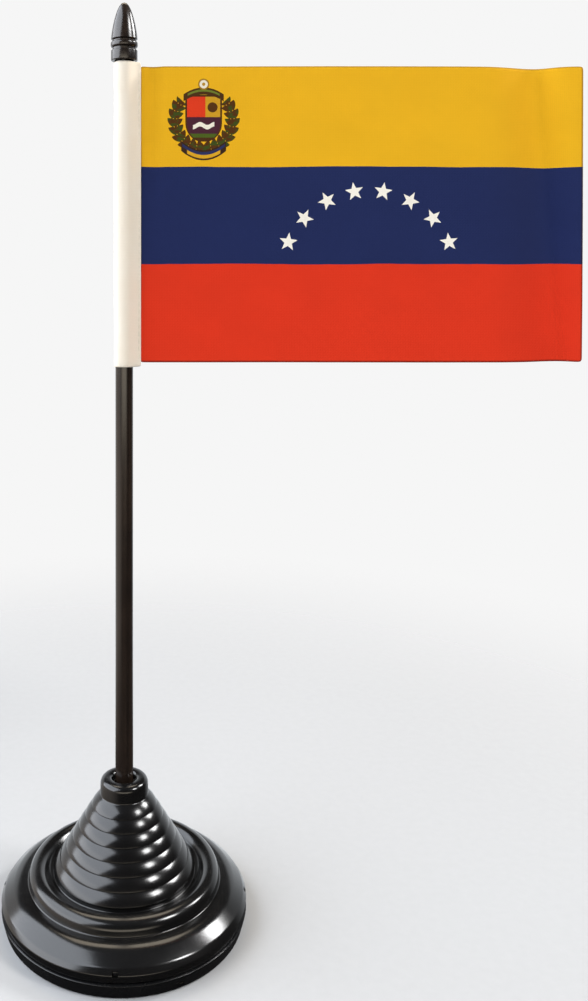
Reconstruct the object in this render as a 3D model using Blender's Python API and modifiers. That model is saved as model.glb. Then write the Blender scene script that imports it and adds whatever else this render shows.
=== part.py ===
"""Desk flag stand: a weighted stepped base, a pole with a pointed finial, and a small printed flag.

Metres, +Z up. The origin is the centre of the underside, on the pole's axis. The flag flies towards +X,
and the front of the stand is its -Y side.
"""
from math import acos, cos, pi, radians, sin, tau

import bmesh
import bpy
from mathutils import Matrix

MM = 0.001

# Fits and facets
SEAT_GAP = 0.3 * MM             # left between two pieces that touch
MERGE_DISTANCE = 0.00002
CUTTER_OVERRUN = 1.0 * MM       # how far a cutter stands out of the surface it cuts
BASE_SEGMENTS = 48
SMALL_SEGMENTS = 24

# Pole and the socket it stands in
POLE_RADIUS = 3.0 * MM
POLE_WALL = 1.0 * MM
POLE_LENGTH = 289.4 * MM
SOCKET_FLOOR_Z = 6.8 * MM
SOCKET_WALL = 2.2 * MM
SOCKET_LEAD_IN = 0.5 * MM

# Base shell, from the parting line up
BAND_HEIGHT = 4.8 * MM          # underside to the parting line
SIDE_HEIGHT = 2.9 * MM          # the upright wall over the parting line
SHOULDER_HEIGHT = 1.4 * MM
CHAMFER_HEIGHT = 3.5 * MM
LAST_LIP_RISE = 3.7 * MM        # plateau to the lowest bead's lip
RING_COUNT = 7
RING_DROP = 3.4 * MM
COLLAR_HEIGHT = 5.4 * MM

# Base shell, from the mouth out
MOUTH_CLEARANCE = 1.0 * MM      # pole to the collar's lip
MOUTH_CHAMFER = 0.6 * MM
COLLAR_WALL = 2.25 * MM         # round the bush's pocket
COLLAR_ROUND = 1.0 * MM
FIRST_RING_WIDTH = 3.0 * MM
RING_STEP = 2.13 * MM
RING_UNDERCUT = 0.4 * MM
VALLEY_WIDTH = 1.4 * MM         # lowest lip to the valley's bottom
VALLEY_DEPTH = 1.7 * MM
VALLEY_TURN = 0.5 * MM          # round the foot of the valley's inner side
TORUS_OFFSET = 4.2 * MM         # valley's bottom to the torus's centre
TORUS_RADIUS = 2.6 * MM
TORUS_LIFT = 1.8 * MM           # plateau up to the torus's centre
TORUS_STEP = 0.1 * MM           # torus to the riser under it
PLATEAU_WIDTH = 3.6 * MM
CHAMFER_WIDTH = 4.2 * MM
SHOULDER_WIDTH = 1.1 * MM

# Walls of the shell
COLLAR_LIP_THICKNESS = 2.2 * MM
INNER_TUBE_WALL = 1.5 * MM
RING_WALL = 2.0 * MM
PLATEAU_WALL = 1.8 * MM
RIM_WALL = 2.4 * MM
GROOVE_WIDTH = 0.7 * MM         # depth of the parting groove
GROOVE_HEIGHT = 0.45 * MM       # height of each of its two chamfers

# Cover
FLOOR_THICKNESS = 2.4 * MM
BAND_TAPER = 1.2 * MM
FOOT_ROUND = 0.5 * MM
LIP_WALL = 1.4 * MM
LIP_HEIGHT = 3.3 * MM           # above the parting line
NOTCH_ANGLE = radians(26.4)     # from the front, towards +X
NOTCH_WIDTH = 3.0 * MM
NOTCH_HEIGHT = 1.6 * MM
NOTCH_DEPTH = 1.2 * MM
NOTCH_Z = 1.7 * MM

# Snap windows in the shell, and the cover's hooks in them
WINDOW_COUNT = 4
FIRST_WINDOW_ANGLE = radians(-2.1)
WINDOW_WIDTH = 1.8 * MM
WINDOW_HEIGHT = 2.2 * MM
WINDOW_SILL = 2.0 * MM          # above the parting line
HOOK_REACH = 1.1 * MM
HOOK_HEIGHT = 1.0 * MM

# Ballast ring
BALLAST_HEIGHT = 5.0 * MM
BALLAST_PLAY = 0.7 * MM         # to the cover's upstanding lip
BALLAST_CHAMFER = 0.5 * MM

# Grip bush
BUSH_HEIGHT = 7.4 * MM
GRIP_RIB_COUNT = 3
GRIP_RIB_DEPTH = 0.4 * MM

# Finial, from its lower edge up
FINIAL_BORE_DEPTH = 9.5 * MM
FERRULE_WALL = 1.2 * MM
FERRULE_HEIGHT = 3.5 * MM
NECK_WALL = 0.7 * MM
NECK_HEIGHT = 0.8 * MM
BEAD_WALL = 1.5 * MM
BEAD_HEIGHT = 2.2 * MM
POINT_WALL = 1.2 * MM
POINT_HEIGHT = 12.5 * MM
POINT_FULLNESS = 1.3            # exponent of the ogive's outline

# Flag
SLEEVE_THICKNESS = 0.4 * MM
SLEEVE_TAB = 2.7 * MM           # pole's side to the sleeve's seam edge
SLEEVE_HEIGHT = 103.0 * MM
SLEEVE_TOP_GAP = 0.4 * MM       # under the finial
CLOTH_THICKNESS = 0.4 * MM
CLOTH_HEIGHT = 100.0 * MM
CLOTH_LENGTH = 149.4 * MM       # as it flies, in the line from the hoist to the fly
WAVE_DEPTH = 2.0 * MM
WAVE_LENGTH = 82.0 * MM
WAVE_RAMP = 34.0 * MM           # from the hoist to the first full wave
THREAD_RADIUS = 0.2 * MM
THREAD_STANDOFF = 0.75 * MM
THREAD_END_MARGIN = 2.0 * MM

# Radii that follow
POLE_BORE_RADIUS = POLE_RADIUS + SEAT_GAP      # socket, bush, finial and sleeve
BOSS_RADIUS = POLE_BORE_RADIUS + SOCKET_WALL
POCKET_RADIUS = BOSS_RADIUS + SEAT_GAP
INNER_TUBE_RADIUS = POCKET_RADIUS + INNER_TUBE_WALL
MOUTH_RADIUS = POLE_RADIUS + MOUTH_CLEARANCE
COLLAR_RADIUS = POCKET_RADIUS + COLLAR_WALL
LAST_LIP_RADIUS = COLLAR_RADIUS + FIRST_RING_WIDTH + (RING_COUNT - 1) * RING_STEP
VALLEY_RADIUS = LAST_LIP_RADIUS + VALLEY_WIDTH
TORUS_CENTRE_RADIUS = VALLEY_RADIUS + TORUS_OFFSET
RISER_RADIUS = TORUS_CENTRE_RADIUS + TORUS_RADIUS + TORUS_STEP
PLATEAU_RADIUS = RISER_RADIUS + PLATEAU_WIDTH
SHOULDER_RADIUS = PLATEAU_RADIUS + CHAMFER_WIDTH
BASE_RADIUS = SHOULDER_RADIUS + SHOULDER_WIDTH
RIM_INNER_RADIUS = BASE_RADIUS - RIM_WALL
LIP_RADIUS = RIM_INNER_RADIUS - SEAT_GAP
LIP_INNER_RADIUS = LIP_RADIUS - LIP_WALL
FERRULE_RADIUS = POLE_BORE_RADIUS + FERRULE_WALL
NECK_RADIUS = POLE_BORE_RADIUS + NECK_WALL
BEAD_RADIUS = POLE_BORE_RADIUS + BEAD_WALL
POINT_RADIUS = POLE_BORE_RADIUS + POINT_WALL
SLEEVE_REACH = POLE_RADIUS + SLEEVE_TAB

# Heights that follow
SIDE_TOP_Z = BAND_HEIGHT + SIDE_HEIGHT
SHOULDER_Z = SIDE_TOP_Z + SHOULDER_HEIGHT
PLATEAU_Z = SHOULDER_Z + CHAMFER_HEIGHT
LAST_LIP_Z = PLATEAU_Z + LAST_LIP_RISE
VALLEY_Z = LAST_LIP_Z - VALLEY_DEPTH
TORUS_Z = PLATEAU_Z + TORUS_LIFT
COLLAR_FOOT_Z = LAST_LIP_Z + RING_COUNT * RING_DROP
COLLAR_TOP_Z = COLLAR_FOOT_Z + COLLAR_HEIGHT
LIP_UNDERSIDE_Z = COLLAR_TOP_Z - COLLAR_LIP_THICKNESS
SHELL_FOOT_Z = BAND_HEIGHT + SEAT_GAP / 2
BAND_TOP_Z = BAND_HEIGHT - SEAT_GAP / 2
COVER_LIP_Z = BAND_HEIGHT + LIP_HEIGHT
BALLAST_Z = FLOOR_THICKNESS + SEAT_GAP
INNER_TUBE_FOOT_Z = BALLAST_Z + BALLAST_HEIGHT + SEAT_GAP
BUSH_Z = LIP_UNDERSIDE_Z - SEAT_GAP - BUSH_HEIGHT
SOCKET_TOP_Z = BUSH_Z - SEAT_GAP
POLE_Z = SOCKET_FLOOR_Z + SEAT_GAP
POLE_TOP_Z = POLE_Z + POLE_LENGTH
FINIAL_Z = POLE_TOP_Z + SEAT_GAP - FINIAL_BORE_DEPTH
SLEEVE_Z = FINIAL_Z - SLEEVE_TOP_GAP - SLEEVE_HEIGHT
CLOTH_Z = SLEEVE_Z + (SLEEVE_HEIGHT - CLOTH_HEIGHT) / 2

parts = bpy.data.collections.new("desk_flag_stand")
cutters = bpy.data.collections.new("cutters")


def plain_material(name, colour, roughness, metallic=0.0):
    """A Principled BSDF of one colour (linear red, green, blue)."""
    material = bpy.data.materials.new(name)
    material.use_nodes = True
    shader = material.node_tree.nodes["Principled BSDF"]
    shader.inputs["Base Color"].default_value = (*colour, 1.0)
    shader.inputs["Roughness"].default_value = roughness
    shader.inputs["Metallic"].default_value = metallic
    return material


def add_part(name, data, material, height=0.0, parent=None):
    """Put a sub-part on the pole's axis, its own origin at the given height in the world."""
    part = bpy.data.objects.new(name, data)
    data.materials.append(material)
    parts.objects.link(part)
    part.parent = parent
    part.location.z = height - (parent.location.z if parent else 0.0)
    return part


def add_cutter(name, boxes):
    """One hidden object of separate boxes, each a matrix that places and stretches a unit cube."""
    mesh = bpy.data.meshes.new(name)
    bm = bmesh.new()
    for box in boxes:
        bmesh.ops.create_cube(bm, size=1.0, matrix=box)
    bm.to_mesh(mesh)
    bm.free()
    cutter = bpy.data.objects.new(name, mesh)
    cutter.hide_render = True
    cutter.display_type = "WIRE"
    cutters.objects.link(cutter)
    return cutter


def combine(part, cutter, operation):
    """Cut a hidden object out of a part, or join it to the part."""
    boolean = part.modifiers.new(cutter.name, "BOOLEAN")
    boolean.object = cutter
    boolean.operation = operation
    boolean.solver = "EXACT"


def box_on_rim(angle, inner, outer, width, low, high):
    """A box from one radius to another, turned from the front (-Y) by an angle towards +X."""
    turn = Matrix.Rotation(angle, 4, "Z")
    place = Matrix.Translation((0.0, -(inner + outer) / 2, (low + high) / 2))
    return turn @ place @ Matrix.Diagonal((width, outer - inner, high - low, 1.0))


def arc(centre, radii, start, end, steps):
    """Points on an ellipse in the (radius, height) plane, between two angles from the outward direction."""
    angles = [start + (end - start) * i / steps for i in range(steps + 1)]
    return [(centre[0] + radii[0] * cos(a), centre[1] + radii[1] * sin(a)) for a in angles]


def turned(name, profile, segments, material, height=0.0, parent=None):
    """Turn a profile of (radius, height) points about Z. It runs down the piece's outer side.

    A profile that starts and ends on the axis is left open, and any other is closed to a ring.
    """
    edges = [(i, i + 1) for i in range(len(profile) - 1)]
    if profile[0][0] > 0.0:
        edges.append((len(profile) - 1, 0))
    mesh = bpy.data.meshes.new(name)
    mesh.from_pydata([(radius, 0.0, z) for radius, z in profile], edges, [])
    part = add_part(name, mesh, material, height, parent)
    screw = part.modifiers.new("turn", "SCREW")
    screw.steps = segments
    screw.render_steps = segments
    screw.use_merge_vertices = True
    screw.merge_threshold = MERGE_DISTANCE
    screw.use_smooth_shade = True
    return part


def bead_rings():
    """Quarter-ellipse beads down the cone, each ending in a sharp lip over the next."""
    points = []
    inner = COLLAR_RADIUS
    for ring in range(RING_COUNT):
        outer = COLLAR_RADIUS + FIRST_RING_WIDTH + ring * RING_STEP
        foot = COLLAR_FOOT_Z - (ring + 1) * RING_DROP
        points += arc((inner, foot), (outer - inner, RING_DROP), pi / 2, 0.0, 4)
        inner = outer - RING_UNDERCUT
    return points


def shell_outside():
    """The shell's outer side, from the mouth's edge down to the parting line."""
    round_centre = (COLLAR_RADIUS - COLLAR_ROUND, COLLAR_TOP_Z - COLLAR_ROUND)
    torus_centre = (TORUS_CENTRE_RADIUS, TORUS_Z)
    shoulder_centre = (SHOULDER_RADIUS, SIDE_TOP_Z)
    return [
        (MOUTH_RADIUS + MOUTH_CHAMFER, COLLAR_TOP_Z),
        *arc(round_centre, (COLLAR_ROUND, COLLAR_ROUND), pi / 2, 0.0, 3),
        *bead_rings(),
        (LAST_LIP_RADIUS - RING_UNDERCUT, LAST_LIP_Z),
        (LAST_LIP_RADIUS - RING_UNDERCUT, VALLEY_Z + VALLEY_TURN),
        (LAST_LIP_RADIUS - RING_UNDERCUT + VALLEY_TURN, VALLEY_Z),
        (VALLEY_RADIUS, VALLEY_Z),
        *arc(torus_centre, (TORUS_RADIUS, TORUS_RADIUS), radians(150), 0.0, 6),
        (RISER_RADIUS, TORUS_Z - TORUS_STEP),
        (RISER_RADIUS, PLATEAU_Z),
        (PLATEAU_RADIUS, PLATEAU_Z),
        *arc(shoulder_centre, (SHOULDER_WIDTH, SHOULDER_HEIGHT), pi / 2, 0.0, 3),
        (BASE_RADIUS, BAND_HEIGHT + GROOVE_HEIGHT),
        (BASE_RADIUS - GROOVE_WIDTH, SHELL_FOOT_Z),
    ]


def shell_inside():
    """The shell's inner side, from the parting line up, round the inner tube and out of the mouth."""
    slope_in = RING_STEP / RING_DROP
    ceiling_z = PLATEAU_Z - PLATEAU_WALL
    rim_top_z = COVER_LIP_Z + SEAT_GAP
    cone_foot_radius = LAST_LIP_RADIUS - RING_WALL
    cone_foot_z = LAST_LIP_Z - RING_WALL / 2
    cone_top_z = cone_foot_z + (cone_foot_radius - INNER_TUBE_RADIUS) / slope_in
    return [
        (RIM_INNER_RADIUS, SHELL_FOOT_Z),
        (RIM_INNER_RADIUS, rim_top_z),
        (PLATEAU_RADIUS - PLATEAU_WALL / 2, ceiling_z),
        (RISER_RADIUS - PLATEAU_WALL, ceiling_z),
        (RISER_RADIUS - PLATEAU_WALL, TORUS_Z),
        (TORUS_CENTRE_RADIUS, TORUS_Z + TORUS_RADIUS - PLATEAU_WALL),
        (VALLEY_RADIUS + VALLEY_TURN, VALLEY_Z - PLATEAU_WALL),
        (VALLEY_RADIUS - PLATEAU_WALL, VALLEY_Z - PLATEAU_WALL),
        (cone_foot_radius, cone_foot_z),
        (INNER_TUBE_RADIUS + SEAT_GAP, cone_top_z),
        (INNER_TUBE_RADIUS, cone_top_z - SEAT_GAP),
        (INNER_TUBE_RADIUS, INNER_TUBE_FOOT_Z),
        (POCKET_RADIUS, INNER_TUBE_FOOT_Z),
        (POCKET_RADIUS, LIP_UNDERSIDE_Z),
        (MOUTH_RADIUS, LIP_UNDERSIDE_Z),
        (MOUTH_RADIUS, COLLAR_TOP_Z - MOUTH_CHAMFER),
    ]


def window_angles():
    """The snap windows' places round the rim."""
    return [FIRST_WINDOW_ANGLE + tau * index / WINDOW_COUNT for index in range(WINDOW_COUNT)]


def base_shell():
    """The moulded upper shell, with its snap windows."""
    material = plain_material("glossy_black_abs", (0.012, 0.011, 0.012), 0.12)
    shell = turned("base_shell", shell_outside() + shell_inside(), BASE_SEGMENTS, material)
    outer = BASE_RADIUS + CUTTER_OVERRUN
    low = BAND_HEIGHT + WINDOW_SILL
    high = low + WINDOW_HEIGHT
    windows = [box_on_rim(angle, LIP_RADIUS, outer, WINDOW_WIDTH, low, high) for angle in window_angles()]
    combine(shell, add_cutter("snap_windows", windows), "DIFFERENCE")


def base_cover():
    """The floor, the outer band, the lip inside the shell, its hooks, and the pole's socket."""
    profile = [
        (0.0, SOCKET_FLOOR_Z),
        (POLE_BORE_RADIUS, SOCKET_FLOOR_Z),
        (POLE_BORE_RADIUS, SOCKET_TOP_Z - SOCKET_LEAD_IN),
        (POLE_BORE_RADIUS + SOCKET_LEAD_IN, SOCKET_TOP_Z),
        (BOSS_RADIUS, SOCKET_TOP_Z),
        (BOSS_RADIUS, FLOOR_THICKNESS),
        (LIP_INNER_RADIUS, FLOOR_THICKNESS),
        (LIP_INNER_RADIUS, COVER_LIP_Z),
        (LIP_RADIUS, COVER_LIP_Z),
        (LIP_RADIUS, BAND_TOP_Z),
        (BASE_RADIUS - GROOVE_WIDTH, BAND_TOP_Z),
        (BASE_RADIUS, BAND_TOP_Z - GROOVE_HEIGHT),
        (BASE_RADIUS - BAND_TAPER, FOOT_ROUND),
        (BASE_RADIUS - BAND_TAPER - FOOT_ROUND, 0.0),
        (0.0, 0.0),
    ]
    material = plain_material("satin_black_abs", (0.014, 0.013, 0.014), 0.2)
    cover = turned("base_cover", profile, BASE_SEGMENTS, material)
    low = BAND_HEIGHT + WINDOW_SILL + SEAT_GAP
    high = low + HOOK_HEIGHT
    root = (LIP_RADIUS + LIP_INNER_RADIUS) / 2
    reach = LIP_RADIUS + HOOK_REACH
    width = WINDOW_WIDTH - 2 * SEAT_GAP
    hooks = [box_on_rim(angle, root, reach, width, low, high) for angle in window_angles()]
    combine(cover, add_cutter("snap_hooks", hooks), "UNION")
    floor = BASE_RADIUS - BAND_TAPER / 2 - NOTCH_DEPTH
    outer = BASE_RADIUS + CUTTER_OVERRUN
    low = NOTCH_Z - NOTCH_HEIGHT / 2
    notch = box_on_rim(NOTCH_ANGLE, floor, outer, NOTCH_WIDTH, low, low + NOTCH_HEIGHT)
    combine(cover, add_cutter("pry_notch", [notch]), "DIFFERENCE")


def ballast_ring():
    """The steel ring that lies on the cover's floor, under the shell's inner tube."""
    inner = BOSS_RADIUS + SEAT_GAP
    outer = LIP_INNER_RADIUS - BALLAST_PLAY
    profile = [
        (inner, BALLAST_HEIGHT),
        (outer - BALLAST_CHAMFER, BALLAST_HEIGHT),
        (outer, BALLAST_HEIGHT - BALLAST_CHAMFER),
        (outer, BALLAST_CHAMFER),
        (outer - BALLAST_CHAMFER, 0.0),
        (inner, 0.0),
    ]
    material = plain_material("zinc_plated_steel", (0.45, 0.45, 0.46), 0.4, 1.0)
    turned("ballast_ring", profile, BASE_SEGMENTS, material, BALLAST_Z)


def grip_bush():
    """The soft bush under the collar's lip; its inner ribs hold the pole."""
    rib_pitch = BUSH_HEIGHT / GRIP_RIB_COUNT
    groove_radius = POLE_BORE_RADIUS + GRIP_RIB_DEPTH
    profile = [
        (groove_radius, BUSH_HEIGHT),
        (BOSS_RADIUS, BUSH_HEIGHT),
        (BOSS_RADIUS, 0.0),
        (groove_radius, 0.0),
    ]
    for rib in range(GRIP_RIB_COUNT):
        middle = (rib + 0.5) * rib_pitch
        profile += [
            (groove_radius, middle - rib_pitch / 3),
            (POLE_BORE_RADIUS, middle - rib_pitch / 6),
            (POLE_BORE_RADIUS, middle + rib_pitch / 6),
            (groove_radius, middle + rib_pitch / 3),
        ]
    material = plain_material("soft_black_pvc", (0.03, 0.03, 0.03), 0.6)
    turned("grip_bush", profile, SMALL_SEGMENTS, material, BUSH_Z)


def pole_tube(frame):
    """The pole, open at both ends."""
    bore = POLE_RADIUS - POLE_WALL
    top = POLE_LENGTH
    profile = [(bore, top), (POLE_RADIUS, top), (POLE_RADIUS, 0.0), (bore, 0.0)]
    material = plain_material("glossy_dark_pole", (0.02, 0.014, 0.011), 0.1)
    turned("pole_tube", profile, SMALL_SEGMENTS, material, POLE_Z, frame)


def finial(frame):
    """Ferrule, neck, bead and ogive point, with a blind bore over the pole's top."""
    bead_foot = FERRULE_HEIGHT + NECK_HEIGHT
    bead_centre = (NECK_RADIUS, bead_foot + BEAD_HEIGHT / 2)
    point_foot = bead_foot + BEAD_HEIGHT + NECK_HEIGHT
    point = []
    for step in range(9):
        share = 1.0 - (step / 8) ** 2
        radius = POINT_RADIUS * (1.0 - share ** POINT_FULLNESS) ** 0.5
        point.append((radius, point_foot + POINT_HEIGHT * share))
    profile = [
        *point,
        (NECK_RADIUS, point_foot - NECK_HEIGHT / 2),
        *arc(bead_centre, (BEAD_RADIUS - NECK_RADIUS, BEAD_HEIGHT / 2), pi / 2, -pi / 2, 6),
        (NECK_RADIUS, FERRULE_HEIGHT + SEAT_GAP),
        (FERRULE_RADIUS, FERRULE_HEIGHT),
        (FERRULE_RADIUS, SEAT_GAP),
        (FERRULE_RADIUS - SEAT_GAP, 0.0),
        (POLE_BORE_RADIUS, 0.0),
        (POLE_BORE_RADIUS, FINIAL_BORE_DEPTH),
        (0.0, FINIAL_BORE_DEPTH),
    ]
    material = plain_material("dark_bronze_finial", (0.03, 0.02, 0.015), 0.2)
    turned("finial", profile, SMALL_SEGMENTS, material, FINIAL_Z, frame)


def hoist_sleeve(frame):
    """A tube of tape round the pole, drawn together to a seam on the flag's side."""
    inner = POLE_BORE_RADIUS
    tip = SLEEVE_REACH / (1.0 + SLEEVE_THICKNESS / inner)
    tangent = acos(inner / tip)
    mesh = bpy.data.meshes.new("hoist_sleeve")
    bm = bmesh.new()
    around = [(tip, 0.0), *arc((0.0, 0.0), (inner, inner), tangent, tau - tangent, 18)]
    ring = [bm.verts.new((x, y, 0.0)) for x, y in around]
    edges = [bm.edges.new((ring[i - 1], ring[i])) for i in range(len(ring))]
    wall = bmesh.ops.extrude_edge_only(bm, edges=edges)["geom"]
    top = [item for item in wall if isinstance(item, bmesh.types.BMVert)]
    bmesh.ops.translate(bm, verts=top, vec=(0.0, 0.0, SLEEVE_HEIGHT))
    bmesh.ops.recalc_face_normals(bm, faces=bm.faces)
    bm.to_mesh(mesh)
    bm.free()
    material = plain_material("cream_polyester", (0.9, 0.82, 0.7), 0.8)
    sleeve = add_part("hoist_sleeve", mesh, material, SLEEVE_Z, frame)
    tape = sleeve.modifiers.new("tape", "SOLIDIFY")
    tape.thickness = SLEEVE_THICKNESS
    tape.offset = 1.0
    tape.use_even_offset = True
    mesh.shade_smooth()


def flag_cloth(frame):
    """The printed panel, waved gently more and more from the hoist to the fly."""
    mesh = bpy.data.meshes.new("flag_cloth")
    bm = bmesh.new()
    stand_up = Matrix.Rotation(pi / 2, 4, "X") @ Matrix.Diagonal((CLOTH_LENGTH, CLOTH_HEIGHT, 1.0, 1.0))
    bmesh.ops.create_grid(bm, x_segments=36, y_segments=4, size=0.5, matrix=stand_up)
    hoist = SLEEVE_REACH + SEAT_GAP
    bmesh.ops.translate(bm, verts=bm.verts, vec=(hoist + CLOTH_LENGTH / 2, 0.0, CLOTH_HEIGHT / 2))
    for vert in bm.verts:
        along = vert.co.x - hoist
        swell = min(1.0, along / WAVE_RAMP) ** 2
        vert.co.y = WAVE_DEPTH * swell * sin(tau * along / WAVE_LENGTH)
    bm.to_mesh(mesh)
    bm.free()
    material = plain_material("printed_polyester", (0.8, 0.42, 0.01), 0.7)
    cloth = add_part("flag_cloth", mesh, material, CLOTH_Z, frame)
    weave = cloth.modifiers.new("cloth", "SOLIDIFY")
    weave.thickness = CLOTH_THICKNESS
    weave.offset = 0.0
    mesh.shade_smooth()


def hoist_seam_thread(frame):
    """The row of stitches down the seam, as one straight thread in front of it."""
    curve = bpy.data.curves.new("hoist_seam_thread", "CURVE")
    curve.dimensions = "3D"
    curve.bevel_depth = THREAD_RADIUS
    curve.bevel_resolution = 2
    curve.use_fill_caps = True
    thread = curve.splines.new("POLY")
    thread.points.add(1)
    x = SLEEVE_REACH + SEAT_GAP / 2
    for point, z in zip(thread.points, (THREAD_END_MARGIN, CLOTH_HEIGHT - THREAD_END_MARGIN)):
        point.co = (x, -THREAD_STANDOFF, z, 1.0)
    material = plain_material("cream_thread", (0.9, 0.85, 0.75), 0.6)
    add_part("hoist_seam_thread", curve, material, CLOTH_Z, frame)


def build():
    """Clear the scene, then make the base, the pole with its finial, and the flag."""
    for old in list(bpy.data.objects):
        bpy.data.objects.remove(old)
    scene = bpy.context.scene
    scene.collection.children.link(parts)
    scene.collection.children.link(cutters)
    base_shell()
    base_cover()
    ballast_ring()
    grip_bush()
    pole_frame = bpy.data.objects.new("pole_frame", None)
    pole_frame.location.z = POLE_Z
    parts.objects.link(pole_frame)
    pole_tube(pole_frame)
    finial(pole_frame)
    hoist_sleeve(pole_frame)
    flag_cloth(pole_frame)
    hoist_seam_thread(pole_frame)


build()
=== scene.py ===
"""A desk flag on a weighted stand: glossy stepped base, slim pole with a pointed finial, printed flag.

Everything is in metres in the stand's own frame: the origin is the centre of the underside on the pole's
axis, the flag flies towards +X, and the front is -Y.
"""

from functools import partial
from math import acos, atan2, cos, pi, radians, sin, tau

import bmesh
import bpy
from mathutils import Matrix, Vector


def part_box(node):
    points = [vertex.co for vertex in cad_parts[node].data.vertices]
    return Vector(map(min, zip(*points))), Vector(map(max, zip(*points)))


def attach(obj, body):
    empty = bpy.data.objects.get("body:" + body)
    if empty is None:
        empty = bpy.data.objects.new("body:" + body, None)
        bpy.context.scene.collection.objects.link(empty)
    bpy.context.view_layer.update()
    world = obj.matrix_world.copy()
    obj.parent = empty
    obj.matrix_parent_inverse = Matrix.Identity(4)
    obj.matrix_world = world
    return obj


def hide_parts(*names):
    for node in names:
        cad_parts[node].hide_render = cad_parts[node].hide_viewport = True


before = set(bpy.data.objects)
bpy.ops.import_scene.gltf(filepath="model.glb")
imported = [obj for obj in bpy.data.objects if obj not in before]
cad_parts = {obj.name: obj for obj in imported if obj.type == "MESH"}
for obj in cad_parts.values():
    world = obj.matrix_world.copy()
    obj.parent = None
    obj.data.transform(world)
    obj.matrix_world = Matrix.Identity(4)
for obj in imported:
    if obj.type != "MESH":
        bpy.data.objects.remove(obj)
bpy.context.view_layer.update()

# ---------------------------------------------------------------------------------------------------------
# Base cover
# The lower half of the base: a floor, a low tapered band, a lip that snaps inside the shell, and the socket
# tube that the pole stands in. It is injection moulded in black ABS with a satin polish, and its four hooks
# click into the windows of the shell.
# ---------------------------------------------------------------------------------------------------------
MM = 0.001
GAP = 0.3 * MM                          # left between two pieces that touch
SHARP = 40.0                            # an edge that turns further than this, in degrees, stays crisp
cover_low, cover_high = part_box("base_cover")
shell_low, shell_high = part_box("base_shell")
pole_low, pole_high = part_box("pole_tube")
rim_radius = shell_high.x
pole_bore = pole_high.x + GAP           # socket, bush, finial and sleeve all clear the pole by this
parting_z = shell_low.z - GAP / 2
rim_inside = rim_radius - 2.4 * MM
lip_radius = rim_inside - GAP
lip_inside = lip_radius - 1.4 * MM
window_size = (1.8 * MM, 1.8 * MM)
window_sill = parting_z + 2.0 * MM
window_turn = radians(-2.1)             # the first window, from the front towards the fly
cover_floor = 2.4 * MM
socket_floor = cover_low.z + 6.8 * MM
socket_outside = pole_bore + 2.2 * MM
lip_top = parting_z + 3.3 * MM
band_foot = rim_radius - 1.25 * MM      # the band narrows towards the desk
hook_height = 1.55 * MM
notch_turn, notch_width = radians(26.4), 3.0 * MM


def linear(code):
    """An sRGB hex code as the linear colour that a shader takes."""
    channels = [int(code[i:i + 2], 16) / 255 for i in (0, 2, 4)]
    return (*[c / 12.92 if c <= 0.04045 else ((c + 0.055) / 1.055) ** 2.4 for c in channels], 1.0)


def add_node(tree, kind, *values, **named):
    """Add a node such as "Math:ADD", set it, give its live sockets values or links in order or by name, and
    return its first live output."""
    kind, _, choice = kind.partition(":")
    node = tree.nodes.new("ShaderNode" + kind)
    if choice:
        setattr(node, "data_type" if kind == "Mix" else "operation", choice)
    for key in [key for key in named if hasattr(node, key)]:
        setattr(node, key, named.pop(key))
    sockets = [socket for socket in node.inputs if socket.enabled]
    given = list(zip(sockets, values))
    for key, value in named.items():
        given.append((next(socket for socket in sockets if socket.name == key.replace("_", " ")), value))
    for socket, value in given:
        if isinstance(value, bpy.types.NodeSocket):
            tree.links.new(value, socket)
        else:
            socket.default_value = value
    return next(output for output in node.outputs if output.enabled)


def new_finish(name, **constants):
    """A material with its Principled BSDF's own sockets set; returns it, its tree and its shader."""
    material = bpy.data.materials.new(name)
    material.use_nodes = True
    tree = material.node_tree
    shader = tree.nodes["Principled BSDF"]
    for key, value in constants.items():
        shader.inputs[key.replace("_", " ")].default_value = value
    return material, tree, shader


def turned(name, outline, steps, sharp=SHARP):
    """Spin an outline of (radius, height, rounding) corners about the pole's axis into a closed skin."""
    bm = bmesh.new()
    corners = [bm.verts.new((radius, 0.0, height)) for radius, height, rounding in outline]
    for first, second in zip(corners, corners[1:]):
        bm.edges.new((first, second))
    if outline[0][0] > 0.0:
        bm.edges.new((corners[-1], corners[0]))
    for size in sorted({rounding for radius, height, rounding in outline if rounding}):
        bent = [corner for corner, point in zip(corners, outline) if point[2] == size]
        bmesh.ops.bevel(bm, geom=bent, offset=size, offset_type="OFFSET", segments=6, profile=0.5,
                        affect="VERTICES", material=-1)
    bmesh.ops.spin(bm, geom=bm.verts[:] + bm.edges[:], axis=(0, 0, 1), cent=(0, 0, 0), angle=tau,
                   steps=steps, use_merge=True)
    bmesh.ops.remove_doubles(bm, verts=bm.verts, dist=0.004 * MM)
    bmesh.ops.recalc_face_normals(bm, faces=bm.faces)
    mesh = bpy.data.meshes.new(name)
    bm.to_mesh(mesh)
    bm.free()
    mesh.shade_smooth()
    mesh.set_sharp_from_angle(angle=radians(sharp))
    piece = bpy.data.objects.new(name, mesh)
    bpy.context.scene.collection.objects.link(piece)
    return piece


def rim_box(bm, turn, inner, outer, width, low, high, edge):
    """A box with softened edges, from one radius to another, turned from the front towards the fly."""
    place = Matrix.Rotation(turn, 4, "Z")
    place @= Matrix.Translation((0.0, -(inner + outer) / 2, (low + high) / 2))
    place @= Matrix.Diagonal((width, outer - inner, high - low, 1.0))
    made = bmesh.ops.create_cube(bm, size=1.0, matrix=place)
    edges = list({e for v in made["verts"] for e in v.link_edges})
    bmesh.ops.bevel(bm, geom=edges, offset=edge, offset_type="OFFSET", segments=2, profile=0.5,
                    affect="EDGES", material=-1)


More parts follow.
